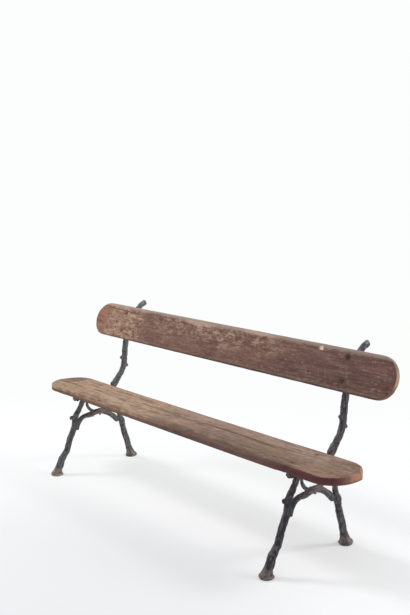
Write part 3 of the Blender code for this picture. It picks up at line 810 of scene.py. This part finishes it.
nibble = BACK_NIBBLE * line_noise(along, 0.05, 29) - np.where(across < 0, *BACK_FULLER)
points[:, 1] -= np.sign(across) * nibble * np.exp(-depth / EDGE_FADE) * (np.abs(across) > BACK_EDGE_FROM)
right_tuck = smooth_step(*BACK_ENDS, along) * across / 0.05
points[:, 0] += BACK_TUCK * (smooth_step(*BACK_ENDS, -along) - right_tuck)
points[:, 1] -= BACK_CORNER * smooth_step(*BACK_LEFT_END, along) * smooth_step(0.02, 0.06, across)
points[:, 2] = np.clip(points[:, 2], -BACK_THICKNESS / 2, BACK_THICKNESS / 2)
set_points(back.data, back_middle + points @ np.array(((1, 0, 0), BACK_UP, BACK_OUT)))
set_places(back.data, points)
on_side = ((share > 0.001) & (share < 0.999)).astype(float)
set_marks(
    back.data,
    grain=grain,
    chip=chip * (share > 0.5),
    edge=np.maximum(on_side, 1 - smooth_step(0.0, 0.6 * arris, depth)),
    behind=1 - smooth_step(0.0, 0.5, share),
    inset=depth,
    stain=1 - smooth_step(*BACK_STAIN, nearest_spot(along, across, back_spots)),
)
back.data.shade_smooth()


def back_finish():
    material, shade, shader = new_finish("flaking_back_paint")
    place = plank_place(shade)
    x, y, _ = split(place)
    grain, chip, inset = marks_of(shade, "grain", "chip", "inset")
    edge, behind, stain = marks_of(shade, "edge", "behind", "stain")
    fibre = streaks(place, (0.07, 0.0024, 0.010))
    streak = streaks(place, (0.11, 0.0070, 0.02))
    mottle = streaks(place, (0.040, 0.020, 0.02))
    fleck = streaks(place, (0.016, 0.0065, 0.02))
    curl = streaks(place, (0.028, 0.022, 0.02))
    patch = streaks(place, (0.20, 0.05, 0.1), 3, 0.55)
    chunk = streaks(place, (0.038, 0.016, 0.03), 2, 0.5) + 0.25 * (fleck - 0.5)
    worn = between(x + 0.15 * y + 0.25 * (mottle - 0.5) + 0.20 * (streak - 0.5), -0.510, -0.665)
    half = between(x + 0.10 * (mottle - 0.5), -0.600, -0.780)
    tip = between(x + 0.06 * (patch - 0.5), -0.865, -0.915)
    upper = between(y + 0.05 * (patch - 0.5), -0.035, 0.035)
    zone = upper * between(x, 0.55, 0.15) * between(x, -0.56, -0.36)
    tone = streak * 0.40 + mottle * 0.20 + patch * 0.20 + fleck * 0.20 + 0.15 * (fibre - 0.5) + 0.04 * zone
    tone = between(tone, 0.39, 0.63)
    shaded = between(x, 0.05, 0.75)
    paint = blended(shaded, blended(tone, *BACK_PAINT), blended(tone, *BACK_SHADED))
    line = between(fibre * 0.7 + grain * 0.4, 0.50, 0.30)
    paint = blended(line * 0.30, paint, BACK_DARK)
    for spot, size, share in BACK_LIGHTER:
        paint = blended(near(x, y, spot, size) * share, paint, BACK_LIGHT)
    colour = blended(worn * (0.62 + 0.38 * half), paint, blended(tone, *BACK_WORN))
    colour = blended(near(x, y, *YELLOW_ZONE) * 0.2, colour, BACK_YELLOW)
    colour = blended(tip * 0.15, colour, BACK_PAINT[0])
    colour = blended(near(x, y, *ORANGE_ZONE) * 0.7, colour, BACK_ORANGE)
    patchy = larger(worn * (1 - tip), zone)
    scab = between(chunk, 0.45, 0.34) * patchy
    colour = blended(scab * 0.60, colour, BACK_PAINT[0])
    bare = between(chunk, 0.55, 0.68) * patchy
    colour = blended(bare * 0.55, colour, BACK_BARE)
    spots = fleck + 0.3 * (mottle - 0.5) + 0.25 * (streak - 0.5)
    limit = 0.640 - 0.090 * zone - 0.03 * worn + 0.10 * tip
    flaked = between(spots - limit, -0.050, 0.050) * (0.50 + 0.25 * zone)
    curled = between(abs(curl - 0.5), 0.040, 0.012) * worn * (1 - tip)
    dark = between(spots, 0.40, 0.28) * (0.25 + 0.35 * zone + 0.2 * worn)
    colour = blended(dark, colour, BACK_DARK)
    colour = blended(flaked, colour, blended(fibre, *BACK_FLECK))
    colour = blended(curled * 0.55, colour, BACK_CURL)
    seam = abs(y + SEAM_SLOPE * x - SEAM_HEIGHT + 0.006 * (mottle - 0.5))
    seam = between(seam, 0.0036, 0.0016) * between(x, -0.915, -0.895) * worn
    colour = blended(seam * 0.75, colour, BACK_DARK)
    rusted = stain * between(fleck + 0.5 * stain, 0.60, 0.80)
    colour = blended(rusted * (0.40 + 0.40 * shaded), colour, BACK_BLACK)
    crown = between(y + 0.012 * (mottle - 0.5) + 0.010 * (streak - 0.5), 0.066, 0.078)
    crown_colour = blended(worn, blended(shaded, *BACK_TOPS), BACK_TOP_WORN)
    colour = blended(crown * (0.80 - 0.25 * worn), colour, crown_colour)
    for spot, size in BACK_BARED:
        bared = near(x, y + 0.008 * (mottle - 0.5), spot, size) * (0.3 + 0.5 * fleck)
        colour = blended(bared, colour, BACK_BARE)
    ends = between(abs(x), 0.925, 0.96)
    red_rim, bright_rim, grey_rim = BACK_RIMS
    rim = blended(between(y, -0.050, -0.010), red_rim, bright_rim)
    rim = blended(between(y, 0.020, 0.055), rim, grey_rim)
    side = blended(between(y, 0.02, 0.08), BACK_DARK, BACK_GREY)
    side = blended(ends, side, rim)
    colour = blended(edge * (0.5 + 0.5 * ends), colour, side)
    bead = between(abs(inset - BEAD_INSET), 0.0024, 0.0008)
    colour = blended(bead * ends * (1 - worn) * 0.4, colour, BACK_DARK)
    glint = between(abs(y - GLINT_HEIGHT), 0.0035, 0.0010)
    colour = blended(glint * (1 - ends) * 0.20, colour, BACK_GREY)
    # A dark line along the lower arris of the face: painted shadow.
    low = between(y, -0.081, -0.0865)
    colour = blended(low * (1 - ends) * 0.45, colour, BACK_BLACK)
    red_end = near(x, y, *RED_ZONE) * between(mottle, 0.40, 0.58)
    colour = blended(red_end * 0.55, colour, BACK_RED)
    colour = blended(behind * 0.4, colour, BACK_DARK)
    colour = blended(chip, colour, blended(fibre * 0.4, CHIP_PALE, BACK_ORANGE))
    joined(shader, "Base Color", colour)
    joined(shader, "Roughness", 0.62 + 0.2 * flaked)
    shader.inputs["Specular IOR Level"].default_value = 0.2
    roughened(shader, 0.5, 0.0009, fibre * 0.4 - flaked * 0.5 - curled * 0.4)
    return material


back.data.materials.append(back_finish())
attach(back, "root")
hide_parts("back_plank")


# Bolts: eight forged carriage bolts with low domed heads hold the planks. A square neck bites into the wood,
# the shank passes through the casting, and the threaded end carries a punched washer and a square nut.
HEAD_RADIUS = 0.0095
HEAD_HEIGHT = 0.0042
SHANK_RADIUS = 0.0040
NECK_LENGTH = 0.0045
NECK_WIDTH = 0.0081
NECK_SUNK = 0.0008
NUT_HEIGHT = 0.0065
NUT_WIDTH = 0.0130
WASHER_RADIUS = 0.0090
WASHER_HEIGHT = 0.0016
WASHER_BORE = 0.0046
THREAD_PITCH = 0.00125
THREAD_DEPTH = 0.0006
THREAD_LENGTH = 0.0135
TURNED_STEPS = 40
DOME_SHARES = (0.15, 0.3, 0.45, 0.6, 0.72, 0.84, 0.93)
HEAD_RIM = ((0.0001, 0.88), (0, 0.95), (0.0004, 1))
BOLT_POINT = 0.0009
NUT_BEVEL = 0.0009
NUT_PLAY = 0.0002
WASHER_ROUND = 0.0003
SMOOTH_ANGLE = math.radians(35)
LOWER_BOLTS = ((0.55, 0.60), (0.76, 0.71))
DUSTED_BOLT = ((-0.06, -0.10), (0.408, 0.416))
# Steel is its colour fresh, rusted, and rusted on the left casting, and the coat left round a bolt's rim.
SEAT_STEEL = ((0.070, 0.044, 0.034), (0.150, 0.094, 0.068), (0.255, 0.160, 0.112), (0.250, 0.170, 0.130))
BACK_STEEL = ((0.024, 0.015, 0.015), (0.060, 0.034, 0.029), (0.255, 0.145, 0.098), (0.120, 0.064, 0.051))
NUT_STEEL = ((0.030, 0.025, 0.023), (0.110, 0.066, 0.046), (0.110, 0.066, 0.046))


def turned(name, profile, closed=False):
    """A piece turned about Z from a profile of (radius, height) points."""
    bpy.ops.object.select_all(action="DESELECT")
    bpy.ops.mesh.primitive_plane_add(size=0.001)
    piece = bpy.context.object
    piece.name = name
    bpy.ops.object.mode_set(mode="EDIT")
    bpy.ops.mesh.select_mode(type="VERT")
    bpy.ops.mesh.select_all(action="SELECT")
    bpy.ops.mesh.merge(type="CENTER")
    bpy.ops.transform.translate(value=(profile[0][0], 0, profile[0][1]))
    for (radius, height), (next_radius, next_height) in zip(profile, profile[1:]):
        step = (next_radius - radius, 0, next_height - height)
        bpy.ops.mesh.extrude_region_move(TRANSFORM_OT_translate={"value": step})
    bpy.ops.mesh.select_all(action="SELECT")
    if closed:
        bpy.ops.mesh.remove_doubles(threshold=1e-7)
    bpy.ops.mesh.spin(steps=TURNED_STEPS, angle=2 * math.pi, center=(0, 0, 0), axis=(0, 0, 1))
    bpy.ops.mesh.select_all(action="SELECT")
    bpy.ops.mesh.remove_doubles(threshold=1e-6)
    bpy.ops.mesh.normals_make_consistent(inside=False)
    bpy.ops.object.mode_set(mode="OBJECT")
    return piece


def bolt_profile(length):
    """A carriage bolt from the crown of its head at z = 0 down to the end of its thread."""
    dome = (HEAD_RADIUS**2 + HEAD_HEIGHT**2) / (2 * HEAD_HEIGHT)
    opening = math.asin(HEAD_RADIUS / dome)
    profile = [(0, 0)]
    for share in DOME_SHARES:
        profile.append((dome * math.sin(opening * share), dome * math.cos(opening * share) - dome))
    for inset, share in HEAD_RIM:
        profile.append((HEAD_RADIUS - inset, -share * HEAD_HEIGHT))
    profile.append((SHANK_RADIUS, -HEAD_HEIGHT))
    start = THREAD_LENGTH - length
    profile.append((SHANK_RADIUS, start))
    for turn in range(int(THREAD_LENGTH / THREAD_PITCH) - 1):
        height = start - turn * THREAD_PITCH
        profile.append((SHANK_RADIUS - THREAD_DEPTH, height - 0.5 * THREAD_PITCH))
        profile.append((SHANK_RADIUS, height - 0.9 * THREAD_PITCH))
        profile.append((SHANK_RADIUS, height - THREAD_PITCH))
    profile.append((SHANK_RADIUS - BOLT_POINT, -length))
    profile.append((0, -length))
    return profile


def block(width, height, middle):
    """A square block that stands on the Z axis, with its middle at a height."""
    bpy.ops.object.select_all(action="DESELECT")
    bpy.ops.mesh.primitive_cube_add(size=1)
    bpy.ops.transform.resize(value=(width, width, height))
    bpy.ops.transform.translate(value=(0, 0, middle))
    bpy.ops.object.transform_apply(location=True, rotation=False, scale=True)
    return bpy.context.object


def with_neck(piece):
    """Adds the square neck under the head of a bolt, and marks how near to its crown each point lies."""
    neck = block(NECK_WIDTH, NECK_LENGTH + NECK_SUNK, -HEAD_HEIGHT - (NECK_LENGTH - NECK_SUNK) / 2)
    applied(piece, "BOOLEAN", operation="UNION", solver="EXACT", object=neck)
    bpy.data.objects.remove(neck)
    set_marks(piece.data, crown=smooth_step(-HEAD_HEIGHT, 0, points_of(piece.data)[:, 2]))
    return piece


def steel_finish(name, fresh, brown, left_brown, rim=None):
    """Rusted steel that is browner on the left casting, with a coat left round the rim of a bolt's head."""
    material, shade, shader = new_finish(name)
    place = shade.add("ShaderNodeTexCoord", {}, {}, "Object")
    x, y, z = split(place)
    left = between(x, 0.2, -0.2)
    coarse = speckle(place, 0.006, 4, 0.65)
    fine = speckle(place, 0.0012, 3)
    rust = between(coarse * 0.8 + fine * 0.3, 0.45, 0.66)
    colour = blended(rust, fresh, brown)
    if rim:
        [crown] = marks_of(shade, "crown")
        lower = between(z, *LOWER_BOLTS[0]) * between(z, *LOWER_BOLTS[1])
        coated = between(crown + 1.2 * (coarse - 0.5) - 0.30 * lower, 0.62, 0.38)
        colour = blended(coated * 0.8, colour, rim)
    colour = blended(left * (0.45 + 0.55 * rust), colour, left_brown)
    dusted = left * between(y, *DUSTED_BOLT[0]) * between(z, *DUSTED_BOLT[1])
    colour = blended(dusted * 0.85, colour, SEAT_TAN[1])
    joined(shader, "Base Color", colour)
    joined(shader, "Roughness", 0.60 + 0.3 * rust)
    shader.inputs["Specular IOR Level"].default_value = 0.25
    shader.inputs["Metallic"].default_value = 0.1
    roughened(shader, 0.4, 0.0004, coarse + 0.5 * fine)
    return material


def placed_copy(pattern, node, crown, outward):
    """A copy of a pattern whose z = 0 comes to crown and whose Z axis points outward, standing for a node."""
    mesh = pattern.data.copy()
    turn = Vector((0, 0, 1)).rotation_difference(Vector(outward)).to_matrix().to_4x4()
    mesh.transform(Matrix.Translation(Vector(crown)) @ turn)
    piece = new_object("old_" + node, mesh)
    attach(piece, "root")
    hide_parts(node)


def bored(width, height, bore):
    """A square nut with broken corners and a round bore, its upper face at z = 0."""
    nut = block(width, height, -height / 2)
    applied(nut, "BEVEL", width=NUT_BEVEL, segments=3)
    bpy.ops.mesh.primitive_cylinder_add(vertices=TURNED_STEPS, radius=bore, depth=4 * height)
    drill = bpy.context.object
    applied(nut, "BOOLEAN", operation="DIFFERENCE", solver="EXACT", object=drill)
    bpy.data.objects.remove(drill)
    return nut


def node_span(node, outward):
    """How far a CAD node reaches along a direction, lowest and highest."""
    heights = points_of(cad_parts[node].data) @ outward
    return heights.min(), heights.max()


seat_steel = steel_finish("seat_bolt_rust", *SEAT_STEEL)
back_steel = steel_finish("back_bolt_rust", *BACK_STEEL)
nut_steel = steel_finish("nut_rust", *NUT_STEEL)
washer_profile = [
    (WASHER_BORE, 0),
    (WASHER_RADIUS - WASHER_ROUND, 0),
    (WASHER_RADIUS, -WASHER_ROUND),
    (WASHER_RADIUS, WASHER_ROUND - WASHER_HEIGHT),
    (WASHER_RADIUS - WASHER_ROUND, -WASHER_HEIGHT),
    (WASHER_BORE, -WASHER_HEIGHT),
    (WASHER_BORE, 0),
]
washer = turned("washer_pattern", washer_profile, closed=True)
washer.data.materials.append(nut_steel)
nut = bored(NUT_WIDTH, NUT_HEIGHT, SHANK_RADIUS + NUT_PLAY)
nut.data.materials.append(nut_steel)
nut.data.shade_smooth()
for spot in BOLT_SPOTS:
    outward = np.array((0, 0, 1)) if "seat" in spot else BACK_OUT
    low, high = node_span(f"left_{spot}_bolt", outward)
    bolt = with_neck(turned("bolt_pattern", bolt_profile(high - low)))
    bolt.data.materials.append(seat_steel if "seat" in spot else back_steel)
    only(bolt)
    bpy.ops.object.shade_smooth_by_angle(angle=SMOOTH_ANGLE)
    for side in ("left", "right"):
        axis_point = middle_of(f"{side}_{spot}_washer")
        for kind, pattern in (("bolt", bolt), ("washer", washer), ("nut", nut)):
            node = f"{side}_{spot}_{kind}"
            top = node_span(node, outward)[1]
            crown = axis_point + (top - axis_point @ outward) * outward
            placed_copy(pattern, node, crown, outward)
    bpy.data.objects.remove(bolt)
for pattern in (washer, nut):
    bpy.data.objects.remove(pattern)


# Studio: a pale floor that runs out to white, two soft boxes, front left and rear right, that throw the
# seat's and the back's soft bands of shadow, and a white room all round. The camera is a 50 mm lens.
FLOOR_SIZE = 60.0
FLOOR_PALE = ((0.955, 0.946, 0.972), (0.805, 0.798, 0.828))
FLOOR_DIM_ZONE = ((0.35, -1.30), (1.8, 1.25))
FLOOR_GLOWS = (0.27, 0.50, 1.00)
FLOOR_VIEW = (-0.753, 0.658, 0)
MIDDLE_GLOW = (-0.7, 0.4)
FAR_GLOW = (0.5, 2.2)
ROUND_GLOW = (1.6, 3.4)
WHITE = (0.972, 0.990, 0.981)
ROOM_LEVEL = 0.70
BOXES = {"front_left_box": ((-4.36, -2.11, 5.0), 1.5, 165.0), "rear_right_box": ((4.0, 4.5, 5.4), 1.8, 163.0)}
BOX_AIM = Vector((0, 0, 0.3))
CAMERA_PLACE = (2.890, -2.45255, 1.5093)
CAMERA_TURN = (math.radians(81.191), 0, math.radians(48.848))
LENS_LENGTH = 50.0
FILM_WIDTH = 36.0


def seen_rays(shade):
    """1 for rays that show a thing, straight, by a gloss or through glass, and 0 for those that light it."""
    names = ("Is Camera Ray", "Is Glossy Ray", "Is Transmission Ray")
    straight, glossy, through = (shade.add("ShaderNodeLightPath", {}, {}, name) for name in names)
    return larger(larger(straight, glossy), through)


bpy.ops.mesh.primitive_plane_add(size=FLOOR_SIZE)
floor = bpy.context.object
floor.name = "studio_floor"
floor_finish, shade, shader = new_finish("pale_floor")
shader.inputs["Roughness"].default_value = 0.9
shader.inputs["Specular IOR Level"].default_value = 0.1
place = shade.add("ShaderNodeTexCoord", {}, {}, "Object")
beyond = shade.add("ShaderNodeVectorMath", {"operation": "DOT_PRODUCT"}, {0: place, 1: FLOOR_VIEW}, "Value")
white = shade.add("ShaderNodeEmission", {}, {"Color": (*WHITE, 1), "Strength": 1.0})
lit = Shade(shade.tree, shader.outputs[0])
x, y, _ = split(place)
# The floor's colour is darker in a broad patch in front of the bench: painted shade.
joined(shader, "Base Color", blended(near(x, y, *FLOOR_DIM_ZONE), *FLOOR_PALE))
near_glow, middle_glow, far_glow = FLOOR_GLOWS
glow = near_glow + (middle_glow - near_glow) * between(beyond, *MIDDLE_GLOW)
away = shade.add("ShaderNodeVectorMath", {"operation": "LENGTH"}, {0: place}, "Value")
far = larger(between(beyond, *FAR_GLOW), between(away, *ROUND_GLOW))
glow = glow + (far_glow - glow) * far
faded = shade.add("ShaderNodeMixShader", {}, {0: seen_rays(shade) * glow, 1: lit, 2: white})
shade.tree.links.new(faded.socket, shade.tree.nodes["Material Output"].inputs["Surface"])
floor.data.materials.append(floor_finish)

room = bpy.data.worlds.new("white_room")
bpy.context.scene.world = room
room.use_nodes = True
background = room.node_tree.nodes["Background"]
background.inputs["Color"].default_value = (*WHITE, 1)
joined(background, "Strength", ROOM_LEVEL + (1 - ROOM_LEVEL) * seen_rays(Shade(room.node_tree)))

for name, (spot, size, power) in BOXES.items():
    lamp = bpy.data.lights.new(name, "AREA")
    lamp.shape = "SQUARE"
    lamp.size = size
    lamp.energy = power
    soft_box = new_object(name, lamp)
    soft_box.location = spot
    soft_box.rotation_euler = (BOX_AIM - Vector(spot)).to_track_quat("-Z", "Y").to_euler()

lens = bpy.data.cameras.new("studio_camera")
lens.lens = LENS_LENGTH
lens.sensor_width = FILM_WIDTH
camera = new_object("studio_camera", lens)
camera.location = CAMERA_PLACE
camera.rotation_euler = CAMERA_TURN
bpy.context.scene.camera = camera
bpy.context.scene.view_settings.view_transform = "Standard"
